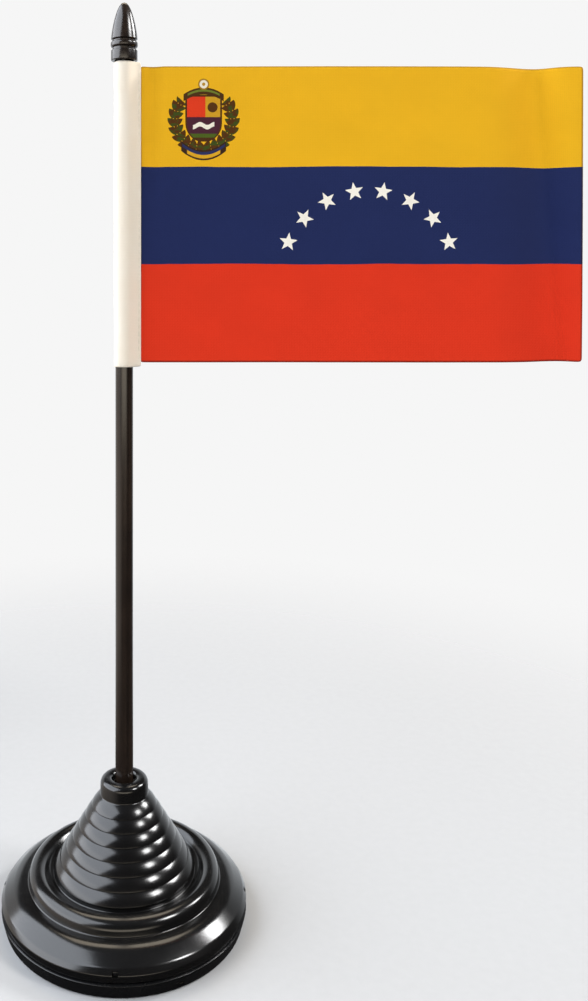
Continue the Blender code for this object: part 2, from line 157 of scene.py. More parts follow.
def combine(piece, boxes, operation):
    """Join rim boxes to a piece or cut them out of it, and keep the result as the piece's mesh."""
    bm = bmesh.new()
    for box in boxes:
        rim_box(bm, *box)
    tool = bpy.data.objects.new("tool", bpy.data.meshes.new("tool"))
    bm.to_mesh(tool.data)
    bm.free()
    bpy.context.scene.collection.objects.link(tool)
    step = piece.modifiers.new("combine", "BOOLEAN")
    step.object, step.operation, step.solver = tool, operation, "EXACT"
    depsgraph = bpy.context.evaluated_depsgraph_get()
    made = bpy.data.meshes.new_from_object(piece.evaluated_get(depsgraph))
    made.name = piece.name
    piece.modifiers.clear()
    piece.data = made
    bpy.data.objects.remove(tool)
    made.shade_smooth()
    made.set_sharp_from_angle(angle=radians(SHARP))


def quarter_turns(first):
    """Four places a quarter turn apart."""
    return [first + tau * quarter / 4 for quarter in range(4)]


cover = turned("cover_moulding", [
    (0.0, socket_floor, 0), (pole_bore, socket_floor, 0),
    (pole_bore, cover_high.z - 0.5 * MM, 0), (pole_bore + 0.5 * MM, cover_high.z, 0),
    (socket_outside, cover_high.z, 0.3 * MM), (socket_outside, cover_floor, 0.6 * MM),
    (lip_inside, cover_floor, 0.6 * MM), (lip_inside, lip_top, 0.2 * MM),
    (lip_radius, lip_top, 0.4 * MM), (lip_radius, parting_z - GAP / 2, 0),
    (rim_radius - 0.7 * MM, parting_z - GAP / 2, 0), (rim_radius, parting_z - 0.4 * MM, 0.12 * MM),
    (band_foot, 0.0, 0.6 * MM), (0.0, 0.0, 0),
], 128)
combine(cover, [(turn, lip_radius - 0.7 * MM, rim_radius - 0.75 * MM, window_size[0] - GAP,
                 window_sill + GAP / 2, window_sill + hook_height, 0.15 * MM)
                for turn in quarter_turns(window_turn)], "UNION")
combine(cover, [(notch_turn, rim_radius - 1.8 * MM, rim_radius + 1.0 * MM, notch_width,
                 0.9 * MM, 2.5 * MM, 0.25 * MM)], "DIFFERENCE")


def moulded_abs(name, colours, dust, roughness, polish_marks):
    """Moulded ABS: a sharp gloss over an even black, with orange peel, polishing rings and dust."""
    material, tree, shader = new_finish(name, IOR=1.5)
    place = add_node(tree, "TexCoord").node.outputs["Object"]
    cloud = add_node(tree, "TexNoise", Vector=place, Scale=90.0, Detail=3.0)
    specks = add_node(tree, "TexNoise", Vector=place, Scale=1900.0, Detail=2.0)
    normal = add_node(tree, "NewGeometry").node.outputs["Normal"]
    lying = add_node(tree, "SeparateXYZ", normal).node.outputs["Z"]
    lying = add_node(tree, "MapRange", lying, From_Min=0.75, From_Max=1.0)
    dusty = add_node(tree, "MapRange", specks, From_Min=0.6, From_Max=0.72, To_Max=dust)
    dusty = add_node(tree, "Math:MULTIPLY", dusty, lying)
    tint = add_node(tree, "Mix:RGBA", cloud, linear(colours[0]), linear(colours[1]))
    tint = add_node(tree, "Mix:RGBA", dusty, tint, linear("6b675f"))
    tree.links.new(tint, shader.inputs["Base Color"])
    gloss = add_node(tree, "MapRange", cloud, From_Min=0.3, From_Max=0.75,
                     To_Min=roughness[0], To_Max=roughness[1])
    gloss = add_node(tree, "Math:MULTIPLY_ADD", dusty, 0.3, gloss)
    tree.links.new(gloss, shader.inputs["Roughness"])
    # Faint circles round the axis from polishing the mould, half a millimetre apart so that they show.
    rings = add_node(tree, "TexWave", Vector=place, Scale=600.0, Distortion=1.5, Detail=2.0,
                     wave_type="RINGS", rings_direction="Z")
    peel = add_node(tree, "TexNoise", Vector=place, Scale=450.0, Detail=2.0)
    relief = add_node(tree, "Math:MULTIPLY_ADD", rings, polish_marks, peel)
    relief = add_node(tree, "Bump", Strength=0.08, Distance=0.03 * MM, Height=relief)
    tree.links.new(relief, shader.inputs["Normal"])
    return material


satin_abs = moulded_abs("satin_moulded_abs", ("0b0b0c", "111112"), 0.1, (0.22, 0.3), 0.3)
cover.data.materials.append(satin_abs)
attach(cover, "base")
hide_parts("base_cover")

# ---------------------------------------------------------------------------------------------------------
# Ballast ring
# A turned steel washer that lies on the cover's floor and keeps the stand from tipping. It is bright zinc
# plated, so it has a bluish grey sheen and the fine circular lines of its turning under the plating.
# ---------------------------------------------------------------------------------------------------------
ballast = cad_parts["ballast_ring"]
zinc, tree, shader = new_finish("zinc_plated_steel", Metallic=1.0)
place = add_node(tree, "TexCoord").node.outputs["Object"]
spangle = add_node(tree, "TexNoise", Vector=place, Scale=260.0, Detail=4.0)
tint = add_node(tree, "Mix:RGBA", spangle, linear("9aa0a6"), linear("c3c6c4"))
tree.links.new(tint, shader.inputs["Base Color"])
gloss = add_node(tree, "MapRange", spangle, To_Min=0.28, To_Max=0.5)
tree.links.new(gloss, shader.inputs["Roughness"])
# The lines of turning are drawn 0.35 mm apart.
turning = add_node(tree, "TexWave", Vector=place, Scale=900.0, Distortion=0.6, wave_type="RINGS",
                   rings_direction="Z")
relief = add_node(tree, "Bump", Strength=0.3, Distance=0.03 * MM, Height=turning)
tree.links.new(relief, shader.inputs["Normal"])
ballast.data.materials.clear()
ballast.data.materials.append(zinc)

# ---------------------------------------------------------------------------------------------------------
# Base shell
# The upper half of the base: one hollow moulding in high-gloss black ABS with a collar, seven bead rings
# down a cone, a valley, a torus ring, a flat plateau and a chamfered rim. Four windows in its rim take the
# cover's hooks, and an inner tube reaches down to the ballast.
# ---------------------------------------------------------------------------------------------------------
bush_low, bush_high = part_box("grip_bush")
ballast_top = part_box("ballast_ring")[1].z
collar_top = shell_high.z
collar_mouth = 4.0 * MM
collar_radius = 8.05 * MM
collar_foot = collar_top - 5.4 * MM
bead_count, bead_drop, bead_step = 7, 3.4 * MM, 2.13 * MM
bead_edges = [collar_radius + 3.0 * MM + bead * bead_step for bead in range(bead_count)]
bead_undercut = 0.4 * MM
bead_swell = 0.5 * MM                   # how far a bead bulges out of the straight cone
cone_foot = collar_foot - bead_count * bead_drop
valley_z = cone_foot - 1.7 * MM
plateau_z = valley_z - 2.0 * MM
wall = 1.8 * MM
tube_radius = pole_bore + 2.5 * MM      # the inner tube's bore, which takes the bush
tube_outside = tube_radius + 1.5 * MM
tube_foot = ballast_top + GAP
bush_seat = bush_high.z + GAP
shell_outline = [(collar_mouth, collar_top, 1.1 * MM), (collar_radius, collar_top, 1.9 * MM)]
inner = collar_radius
for bead, edge in enumerate(bead_edges):
    top = collar_foot - bead * bead_drop
    run = Vector((edge - inner, -bead_drop))
    bulge = Vector((inner, top)) + run * 0.46 + Vector((-run.y, run.x)).normalized() * bead_swell
    shell_outline += [(inner, top, 0.25 * MM if bead == 0 else 0), (*bulge, 1.7 * MM),
                      (edge, top - bead_drop, 0.14 * MM)]
    inner = edge - bead_undercut
# Outside, the valley, torus ring, plateau, chamfer, shoulder and side; then the inside, back up to the bush.
shell_outline += [
    (inner, cone_foot, 0), (inner, valley_z, 0.5 * MM), (inner + 1.8 * MM, valley_z, 0.9 * MM),
    (inner + 3.8 * MM, valley_z + 2.35 * MM, 1.3 * MM), (inner + 6.4 * MM, valley_z + 2.5 * MM, 1.5 * MM),
    (inner + 8.3 * MM, valley_z + 0.9 * MM, 1.2 * MM),
    (inner + 8.65 * MM, plateau_z, 0.45 * MM), (rim_radius - 5.3 * MM, plateau_z, 1.7 * MM),
    (rim_radius - 1.1 * MM, plateau_z - 3.5 * MM, 0.35 * MM),
    (rim_radius, plateau_z - 5.2 * MM, 0.25 * MM),
    (rim_radius - 0.4 * MM, parting_z + 0.4 * MM, 0.2 * MM),
    (rim_radius - 0.8 * MM, shell_low.z, 0),
    (rim_inside, shell_low.z, 0), (rim_inside, parting_z + 3.6 * MM, 0),
    (rim_radius - 6.2 * MM, plateau_z - wall, 0), (rim_radius - 10.7 * MM, plateau_z - wall, 0.5 * MM),
    (rim_radius - 10.7 * MM, valley_z - 0.4 * MM, 0.5 * MM),
    (inner + 5.2 * MM, valley_z + 0.7 * MM, 0.5 * MM),
    (inner + 2.3 * MM, valley_z - wall, 0), (inner, valley_z - wall, 0.5 * MM),
    (inner - 1.6 * MM, valley_z + 0.7 * MM, 0),
    (tube_radius + 1.8 * MM, collar_foot - 1.6 * MM, 0), (tube_outside, collar_foot - 1.9 * MM, 0),
    (tube_outside, tube_foot, 0), (tube_radius, tube_foot, 0),
    (tube_radius, bush_seat, 0), (collar_mouth, bush_seat, 0),
]
shell = turned("shell_moulding", shell_outline, 160)
combine(shell, [(turn, lip_radius, rim_radius + 1.0 * MM, window_size[0], window_sill,
                 window_sill + window_size[1], 0.2 * MM)
                for turn in quarter_turns(window_turn)], "DIFFERENCE")
gloss_abs = moulded_abs("gloss_moulded_abs", ("0a0a0a", "100f0f"), 0.12, (0.16, 0.22), 0.35)
shell.data.materials.append(gloss_abs)
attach(shell, "base")
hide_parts("base_shell")

# ---------------------------------------------------------------------------------------------------------
# Grip bush
# A short soft PVC bush under the collar's lip. Three ribs inside it squeeze the pole, and it turns with it.
# Soft PVC is a matt charcoal that smears where fingers and the pole have rubbed it.
# ---------------------------------------------------------------------------------------------------------
bush_ribs = 3
rib_pitch = (bush_high.z - bush_low.z) / bush_ribs
rib_root = pole_bore + 0.4 * MM
bush_outline = [(rib_root, bush_high.z, 0), (bush_high.x, bush_high.z, 0.3 * MM),
                (bush_high.x, bush_low.z, 0.3 * MM), (rib_root, bush_low.z, 0)]
for rib in range(bush_ribs):
    middle = bush_low.z + (rib + 0.5) * rib_pitch
    bush_outline += [(rib_root, middle - rib_pitch / 3, 0), (pole_bore, middle, 0.6 * MM),
                     (rib_root, middle + rib_pitch / 3, 0)]
bush = turned("bush_moulding", bush_outline, 96)
pvc, tree, shader = new_finish("soft_pvc", IOR=1.52)
place = add_node(tree, "TexCoord").node.outputs["Object"]
smear = add_node(tree, "TexNoise", Vector=place, Scale=500.0, Detail=4.0)
tint = add_node(tree, "Mix:RGBA", smear, linear("2f2e2c"), linear("4a4740"))
tree.links.new(tint, shader.inputs["Base Color"])
gloss = add_node(tree, "MapRange", smear, To_Min=0.35, To_Max=0.65)
tree.links.new(gloss, shader.inputs["Roughness"])
relief = add_node(tree, "Bump", Strength=0.25, Distance=0.05 * MM, Height=smear)
tree.links.new(relief, shader.inputs["Normal"])
bush.data.materials.append(pvc)
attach(bush, "bush")
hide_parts("grip_bush")

# ---------------------------------------------------------------------------------------------------------
# Pole
# An extruded tube in glossy brown-black styrene, 6 mm across with a 1 mm wall. Extrusion leaves faint
# streaks along it, and the brown of the plastic shows where light catches it.
# ---------------------------------------------------------------------------------------------------------
pole_radius = pole_high.x
pole_inside = pole_radius - 1.0 * MM
pole = turned("pole_extrusion", [
    (pole_inside, pole_high.z, 0), (pole_radius, pole_high.z, 0.2 * MM),
    (pole_radius, pole_low.z, 0.2 * MM), (pole_inside, pole_low.z, 0),
], 96)


def brown_black_gloss(name, colours, roughness, streaks):
    """Brown-black styrene with a high gloss; streaks under one stretches its marks along the pole."""
    material, tree, shader = new_finish(name, IOR=1.55)
    place = add_node(tree, "TexCoord").node.outputs["Object"]
    along = add_node(tree, "Mapping", place, Scale=(1.0, 1.0, streaks))
    drawn = add_node(tree, "TexNoise", Vector=along, Scale=1100.0, Detail=3.0)
    cloud = add_node(tree, "TexNoise", Vector=place, Scale=60.0, Detail=2.0)
    tone = add_node(tree, "Math:MULTIPLY", drawn, cloud)
    tone = add_node(tree, "MapRange", tone, From_Min=0.12, From_Max=0.42)
    tone = add_node(tree, "Mix:RGBA", tone, linear(colours[0]), linear(colours[1]))
    tree.links.new(tone, shader.inputs["Base Color"])
    gloss = add_node(tree, "MapRange", drawn, To_Min=roughness[0], To_Max=roughness[1])
    tree.links.new(gloss, shader.inputs["Roughness"])
    relief = add_node(tree, "Bump", Strength=0.05, Distance=0.02 * MM, Height=drawn)
    tree.links.new(relief, shader.inputs["Normal"])
    return material


extruded = brown_black_gloss("extruded_styrene", ("17110e", "2b211a"), (0.14, 0.24), 0.02)
pole.data.materials.append(extruded)
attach(pole, "pole")
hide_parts("pole_tube")

# ---------------------------------------------------------------------------------------------------------
# Finial
# One moulded cap pushed over the pole's top: a plain ferrule, a narrow neck, a bead and a long pointed
# ogive. The same brown-black styrene as the pole, moulded, so it has no streaks.
# ---------------------------------------------------------------------------------------------------------
finial_low, finial_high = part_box("finial")
foot = finial_low.z
neck_radius = pole_bore + 0.7 * MM
bead_radius = pole_bore + 1.3 * MM
ferrule_radius = finial_high.x - 0.3 * MM
point_radius = pole_bore + 1.2 * MM
point_foot = foot + 7.3 * MM
point_height = finial_high.z - point_foot
ogive = [(0.0, finial_high.z, 0)]
for share in (0.97, 0.9, 0.8, 0.68, 0.55, 0.4, 0.25, 0.12, 0.0):
    ogive.append((point_radius * (1.0 - share ** 1.3) ** 0.5, point_foot + point_height * share, 0))
finial = turned("finial_moulding", ogive + [
    (neck_radius, point_foot - 0.5 * MM, 0),
    (neck_radius, foot + 6.5 * MM, 0), (bead_radius, foot + 6.4 * MM, 0.7 * MM),
    (bead_radius, foot + 4.4 * MM, 0.7 * MM), (neck_radius, foot + 4.3 * MM, 0),
    (neck_radius, foot + 3.6 * MM, 0), (ferrule_radius, foot + 3.5 * MM, 0.25 * MM),
    (ferrule_radius, foot, 0.25 * MM), (pole_bore, foot, 0),
    (pole_bore, pole_high.z + GAP, 0), (0.0, pole_high.z + GAP, 0),
], 96, sharp=35.0)
moulded = brown_black_gloss("moulded_styrene", ("17110e", "2b2019"), (0.18, 0.28), 1.0)
finial.data.materials.append(moulded)
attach(finial, "tip")
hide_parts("finial")

# ---------------------------------------------------------------------------------------------------------
# Hoist sleeve
# Cream polyester tape folded round the pole, its two edges closed on the flag's hoist and sewn. The weave
# is plain and tight; it reads as a warm white with a soft, slightly fuzzy sheen.
# ---------------------------------------------------------------------------------------------------------
sleeve_low, sleeve_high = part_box("hoist_sleeve")
tape = 0.3 * MM                         # the tape's thickness
sleeve_height = sleeve_high.z - sleeve_low.z
seam_x = sleeve_high.x                  # where the tape's edges end on the flag
bend = pole_bore + 0.1 * MM             # the tape's radius round the pole
bend_steps, rows = 26, 44
lap, lap_gap = 0.9 * MM, 0.3 * MM       # how much of the tape lies flat by the seam, and how far out
tape_per_radian = 6.0 * MM              # more than the bend, because the tape runs out to the seam


def woven(tree, threads, pitch):
    """Relief of a plain weave, over and under, from the places along and across the cloth, in metres."""
    crowns, counts = [], []
    for thread in threads:
        wave = add_node(tree, "Math:SINE", add_node(tree, "Math:MULTIPLY", thread, pi / pitch))
        crowns.append(add_node(tree, "Math:ABSOLUTE", wave))
        counts.append(add_node(tree, "Math:FLOOR", add_node(tree, "Math:DIVIDE", thread, pitch)))
    over = add_node(tree, "Math:FLOORED_MODULO", add_node(tree, "Math:ADD", *counts), 2.0)
    return add_node(tree, "Mix:FLOAT", over, *crowns)


bm = bmesh.new()
leave = acos(bend / (seam_x + 0.5 * MM)) * 0.92         # where the tape leaves the pole for the seam
turns = [leave + (tau - 2 * leave) * step / bend_steps for step in range(bend_steps + 1)]
outline = [(seam_x, -0.28 * MM), (seam_x - lap, -lap_gap)]
outline += [(bend * cos(turn), -bend * sin(turn)) for turn in turns]
outline += [(seam_x - lap, lap_gap), (seam_x, 0.28 * MM)]
ring = [bm.verts.new((x, y, sleeve_low.z)) for x, y in outline]
edges = [bm.edges.new(pair) for pair in zip(ring, ring[1:])]
for _ in range(rows):
    made = bmesh.ops.extrude_edge_only(bm, edges=edges)["geom"]
    lifted = [item for item in made if isinstance(item, bmesh.types.BMVert)]
    bmesh.ops.translate(bm, verts=lifted, vec=(0.0, 0.0, sleeve_height / rows))
    edges = [item for item in made if isinstance(item, bmesh.types.BMEdge)
             and all(vert in lifted for vert in item.verts)]
bmesh.ops.recalc_face_normals(bm, faces=bm.faces)
uv = bm.loops.layers.uv.new("tape")
for face in bm.faces:
    for loop in face.loops:
        turn = atan2(loop.vert.co.y, -loop.vert.co.x)
        loop[uv].uv = (turn * tape_per_radian, loop.vert.co.z)
# The tape is a little slack, so it waves in and out up the pole, about 37 mm and 94 mm from crest to crest.
for vert in bm.verts:
    slack = sin(vert.co.z * 170.0) * 0.12 * MM + sin(vert.co.z * 67.0 + 1.0) * 0.15 * MM
    vert.co.y += slack * max(0.0, vert.co.x) / seam_x * 0.6
    vert.co.x += slack * (0.5 if vert.co.x < 0 else 0.0)
mesh = bpy.data.meshes.new("sleeve_tape")
bm.to_mesh(mesh)
bm.free()
mesh.shade_smooth()
sleeve = bpy.data.objects.new("sleeve_tape", mesh)
bpy.context.scene.collection.objects.link(sleeve)
thick = sleeve.modifiers.new("tape", "SOLIDIFY")
thick.thickness, thick.offset = tape, 0.0
soften = sleeve.modifiers.new("soften", "SUBSURF")
soften.levels = soften.render_levels = 1

tape_finish, tree, shader = new_finish("woven_cream_polyester", Roughness=0.85, Sheen_Weight=0.2,
                                       Sheen_Roughness=0.5)
split = add_node(tree, "SeparateXYZ", add_node(tree, "UVMap", uv_map="tape")).node
# The threads are drawn 0.5 mm apart on the tape's own map, twice their real spacing, so that they show.
relief = woven(tree, (split.outputs["X"], split.outputs["Y"]), 0.5 * MM)
place = add_node(tree, "TexCoord").node.outputs["Object"]
soil = add_node(tree, "TexNoise", Vector=place, Scale=110.0, Detail=4.0)
tone = add_node(tree, "Mix:RGBA", soil, linear("f5e5cd"), linear("f9eedb"))
shade = add_node(tree, "MapRange", relief, To_Min=0.93, To_Max=1.0)
tree.links.new(add_node(tree, "VectorMath:SCALE", tone, Scale=shade), shader.inputs["Base Color"])
relief = add_node(tree, "Bump", Strength=0.35, Distance=0.1 * MM, Height=relief)
tree.links.new(relief, shader.inputs["Normal"])
mesh.materials.append(tape_finish)
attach(sleeve, "flag")
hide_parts("hoist_sleeve")

# ---------------------------------------------------------------------------------------------------------
# Flag
# A 150 x 100 mm panel of plain-woven polyester, dye printed right through with three stripes, an arc of
# eight stars and a crest. It is stiffened, so it flies nearly flat, with a soft fold by the fly.
# ---------------------------------------------------------------------------------------------------------
cloth_low, cloth_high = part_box("flag_cloth")
flag_length, flag_height = 150.0 * MM, 100.0 * MM
hoist_x = seam_x - 0.45 * MM            # where the panel begins, between the edges of the tape
cloth_columns, cloth_rows = 90, 60
middle = Vector((hoist_x + flag_length / 2, 0.0, (cloth_low.z + cloth_high.z) / 2))
place = Matrix.Translation(middle) @ Matrix.Rotation(pi / 2, 4, "X")
place @= Matrix.Diagonal((flag_length, flag_height, 1.0, 1.0))
bm = bmesh.new()
uv = bm.loops.layers.uv.new("print")
bmesh.ops.create_grid(bm, x_segments=cloth_columns, y_segments=cloth_rows, size=0.5, calc_uvs=True,
                      matrix=place)
mesh = bpy.data.meshes.new("flag_panel")
bm.to_mesh(mesh)
bm.free()
flag = bpy.data.objects.new("flag_panel", mesh)
bpy.context.scene.collection.objects.link(flag)


def fold(vert):
    """How far the panel stands back, as a crease by the hoist's top and a slanting fold by the fly."""
    along = (vert.co.x - hoist_x) / flag_length
    up = (vert.co.z - cloth_low.z) / flag_height
    crease_depth, crease_at, crease_reach = 1.2, 0.03, 0.028            # depths in millimetres
    across = min(1.0, abs(along - crease_at) / crease_reach)
    crease = crease_depth * cos(across * pi / 2) ** 2 * min(1.0, max(0.0, up - 0.45) / 0.3)
    swell_depth, swell_at, swell_slant, bell = 4.6, 0.953, 0.05, 2.718
    ridge = along + swell_slant * up - swell_at
    swell = swell_depth * bell ** -((ridge / (0.075 if ridge < 0.0 else 0.04)) ** 2)
    lazy = 0.35 * sin(along * 7.0 + up * 1.5)
    free = min(1.0, along / 0.25) ** 2                  # the tape holds the panel flat by the hoist
    return (crease + (swell + lazy) * free) * MM


for vert in mesh.vertices:
    vert.co.y += fold(vert)
# The panel is held firmly where it is sewn and half as firmly elsewhere, so that its folds last.
held = flag.vertex_groups.new(name="held")
for vert in mesh.vertices:
    along = (vert.co.x - hoist_x) / flag_length
    held.add([vert.index], 1.0 if along < 0.01 else 0.5, "REPLACE")
settle_steps = 24
furthest = 6.0 * MM                     # the cloth may not settle further than this from its fold
cloth = flag.modifiers.new("cloth", "CLOTH")
cloth.settings.quality = 6
cloth.settings.mass = 0.02
cloth.settings.tension_stiffness = cloth.settings.compression_stiffness = 20.0
cloth.settings.shear_stiffness = 8.0
cloth.settings.bending_stiffness = 2.0
cloth.settings.vertex_group_mass = "held"
cloth.settings.pin_stiffness = 0.6
cloth.settings.shrink_min = -0.004
cloth.collision_settings.use_collision = False
cloth.point_cache.frame_start, cloth.point_cache.frame_end = 1, settle_steps
for step in range(1, settle_steps + 1):
    bpy.context.scene.frame_set(step)
depsgraph = bpy.context.evaluated_depsgraph_get()
settled = flag.evaluated_get(depsgraph).to_mesh()
places = [vert.co.copy() for vert in settled.vertices]
flag.evaluated_get(depsgraph).to_mesh_clear()
flag.modifiers.clear()
bpy.context.scene.frame_set(1)
for vert, place in zip(mesh.vertices, places):
    moved = place - vert.co
    vert.co += moved * min(1.0, furthest / max(moved.length, 1e-9))
flag.vertex_groups.clear()
mesh.shade_smooth()
fine = flag.modifiers.new("fine", "SUBSURF")
fine.levels = fine.render_levels = 1
sheet = flag.modifiers.new("cloth", "SOLIDIFY")
sheet.thickness, sheet.offset = 0.16 * MM, 0.0

# Dye that has sunk into a matt weave gives a flat, full colour with next to no gloss.
dyed, tree, shader = new_finish("printed_plain_weave", Roughness=0.85, Specular_IOR_Level=0.12)
node = partial(add_node, tree)
place = node("UVMap", uv_map="print")
split = node("SeparateXYZ", place).node
along = node("Math:MULTIPLY", split.outputs["X"], flag_length)
up = node("Math:MULTIPLY", split.outputs["Y"], flag_height)

# Stripes: yellow over blue over red, where the dye runs a tenth or two of a millimetre as two meet.
bleed = node("TexNoise", Vector=place, Scale=5.0, Detail=3.0)
height = node("Math:MULTIPLY_ADD", node("Math:SUBTRACT", bleed, 0.5), 0.9 * MM, up)
colour = linear("eeb21c")
for top, code in ((66.1 * MM, "202a55"), (33.2 * MM, "e2361b")):
    colour = node("Mix:RGBA", node("Math:LESS_THAN", height, top), colour, linear(code))

# Stars: eight on an arc round a point below the blue, each turned with the arc.
arc_x, arc_y, arc_radius = 77.3 * MM, 28.3 * MM, 29.8 * MM
star_count, star_turn, star_radius = 8, radians(18.7), 3.2 * MM
x = node("Math:SUBTRACT", along, arc_x)
y = node("Math:SUBTRACT", up, arc_y)
turn = node("Math:ARCTAN2", x, y)
reach = node("VectorMath:LENGTH", node("CombineXYZ", x, y))
nearest = node("Math:ADD", node("Math:FLOOR", node("Math:DIVIDE", turn, star_turn)), 0.5)
off = node("Math:SUBTRACT", turn, node("Math:MULTIPLY", nearest, star_turn))
x = node("Math:MULTIPLY", reach, node("Math:SINE", off))
y = node("Math:SUBTRACT", node("Math:MULTIPLY", reach, node("Math:COSINE", off)), arc_radius)
point = node("Math:ABSOLUTE", node("Math:WRAP", node("Math:ARCTAN2", x, y), pi / 5, -pi / 5))
reach = node("VectorMath:LENGTH", node("CombineXYZ", x, y))
# A half point of the star is bounded by the line from its tip to the notch beside it.
tip, notch = Vector((1.0, 0.0)), Vector((cos(pi / 5), sin(pi / 5))) * 0.42
bound = Vector((notch.y - tip.y, tip.x - notch.x)).normalized()
inside = node("Math:ADD", node("Math:MULTIPLY", node("Math:COSINE", point), bound.x),
              node("Math:MULTIPLY", node("Math:SINE", point), bound.y))
star = node("Math:LESS_THAN", node("Math:MULTIPLY", reach, inside), star_radius * bound.x)
ends = node("Math:LESS_THAN", node("Math:ABSOLUTE", turn), star_turn * star_count / 2)
star = node("Math:MULTIPLY", star, ends)
colour = node("Mix:RGBA", star, colour, linear("fbf3e2"))

# Crest, all in millimetres from its middle: x towards the fly, y up, and wide the distance to either side.
crest_x, crest_y = 21.6 * MM, 82.0 * MM
x = node("Math:DIVIDE", node("Math:SUBTRACT", along, crest_x), MM)
y = node("Math:DIVIDE", node("Math:SUBTRACT", up, crest_y), MM)
wide = node("Math:ABSOLUTE", x)

# Its laurel wreath: leaning oval leaves in pairs either side of a round stem, open at the top.
wreath, wreath_end, stem_half = 9.7, 2.3, 0.45
leaf_turn, leaf_out, leaf_lean, leaf_half = 0.27, 1.0, radians(38), (2.1, 1.05)
printed = node("TexNoise", Vector=place, Scale=60.0, Detail=2.0)
printed = node("MapRange", printed, From_Min=0.42, From_Max=0.52)
leaf_green = node("Mix:RGBA", printed, linear("3e4a18"), linear("54310f"))
turn = node("Math:ARCTAN2", wide, node("Math:MULTIPLY", y, -1.0))
reach = node("VectorMath:LENGTH", node("CombineXYZ", x, y))
nearest = node("Math:ADD", node("Math:FLOOR", node("Math:DIVIDE", turn, leaf_turn)), 0.5)
off = node("Math:SUBTRACT", turn, node("Math:MULTIPLY", nearest, leaf_turn))
off = node("Math:MULTIPLY", off, wreath)
from_stem = node("Math:ABSOLUTE", node("Math:SUBTRACT", reach, wreath))
out = node("Math:SUBTRACT", from_stem, leaf_out)
leaf_long = node("Math:ADD", node("Math:MULTIPLY", off, cos(leaf_lean)),
                 node("Math:MULTIPLY", out, sin(leaf_lean)))
leaf_wide = node("Math:SUBTRACT", node("Math:MULTIPLY", out, cos(leaf_lean)),
                 node("Math:MULTIPLY", off, sin(leaf_lean)))
leaf = node("CombineXYZ", node("Math:DIVIDE", leaf_long, leaf_half[0]),
            node("Math:DIVIDE", leaf_wide, leaf_half[1]))
leaf = node("Math:LESS_THAN", node("VectorMath:LENGTH", leaf), 1.0)
branch = node("Math:MAXIMUM", leaf, node("Math:LESS_THAN", from_stem, stem_half))
branch = node("Math:MULTIPLY", branch, node("Math:LESS_THAN", turn, wreath_end))
colour = node("Mix:RGBA", branch, colour, leaf_green)

# Its shield: straight sides over a half oval, a dark rim and a gold field.
shield_top, shield_half, shield_drop = 7.8, 5.6, 6.4
low = node("Math:DIVIDE", node("Math:MAXIMUM", node("Math:SUBTRACT", -1.0, y), 0.0), shield_drop)
side = node("Math:SQRT", node("Math:SUBTRACT", 1.0, node("Math:MULTIPLY", low, low)))
side = node("Math:MULTIPLY", side, shield_half)
for rim, code in ((0.6, "4c2d12"), (0.0, "cf9a22")):
    field = node("Math:LESS_THAN", node("Math:SUBTRACT", wide, side), rim)
    field = node("Math:MULTIPLY", field, node("Math:LESS_THAN", y, shield_top + rim))
    field = node("Math:MULTIPLY", field, node("Math:LESS_THAN", low, 1.0))
    colour = node("Mix:RGBA", field, colour, linear(code))

# The shield's red quarter, its disc, the plum half with a white wave, and the green and brown foot.
half_line, disc_x, disc_y, disc_radius = 0.9, 3.0, 4.2, 1.7
upper = node("Math:GREATER_THAN", y, half_line)
quarter = node("Math:MULTIPLY", upper, node("Math:LESS_THAN", x, 0.6))
disc = node("CombineXYZ", node("Math:SUBTRACT", x, disc_x), node("Math:SUBTRACT", y, disc_y))
disc = node("Math:LESS_THAN", node("VectorMath:LENGTH", disc), disc_radius)
disc = node("Math:MULTIPLY", disc, upper)
plum = node("Math:LESS_THAN", y, half_line)
wave = node("Math:SINE", node("Math:MULTIPLY", x, 1.3))
wave = node("Math:MULTIPLY_ADD", wave, 0.5, node("Math:ADD", y, 2.0))
wave = node("Math:LESS_THAN", node("Math:ABSOLUTE", wave), 0.75)
wave = node("Math:MULTIPLY", wave, node("Math:LESS_THAN", wide, 3.6))
grass = node("Math:LESS_THAN", y, -4.7)
earth = node("Math:LESS_THAN", y, -6.0)
for mask, code in ((quarter, "e03c1c"), (disc, "553210"), (plum, "4a2430"), (wave, "f2e9d2"),
                   (grass, "4d5f1c"), (earth, "4c2d12")):
    colour = node("Mix:RGBA", node("Math:MULTIPLY", mask, field), colour, linear(code))

# Bowed bands, by height, bow, half width, half length and colour: two of the garland, three of the ribbon.
bow = node("Math:MULTIPLY", x, x)
bands = [(9.7, -0.05, 1.2, 6.8, "4c3012"), (9.9, -0.05, 0.35, 5.4, "6f7a2a"),
         (-12.0, 0.055, 1.7, 7.6, "3a2618"), (-11.4, 0.055, 0.5, 7.2, "2b3158"),
         (-12.5, 0.055, 0.6, 5.6, "dfa522")]
for rise, bowed, half, length, code in bands:
    band = node("Math:SUBTRACT", node("Math:SUBTRACT", y, rise), node("Math:MULTIPLY", bow, bowed))
    band = node("Math:LESS_THAN", node("Math:ABSOLUTE", band), half)
    band = node("Math:MULTIPLY", band, node("Math:LESS_THAN", wide, length))
    colour = node("Mix:RGBA", band, colour, linear(code))
rosette = node("VectorMath:LENGTH", node("CombineXYZ", x, node("Math:SUBTRACT", y, 12.0)))
for radius, code in ((1.9, "a5781c"), (1.4, "f0e6cf"), (0.55, "b98a2a")):
    colour = node("Mix:RGBA", node("Math:LESS_THAN", rosette, radius), colour, linear(code))

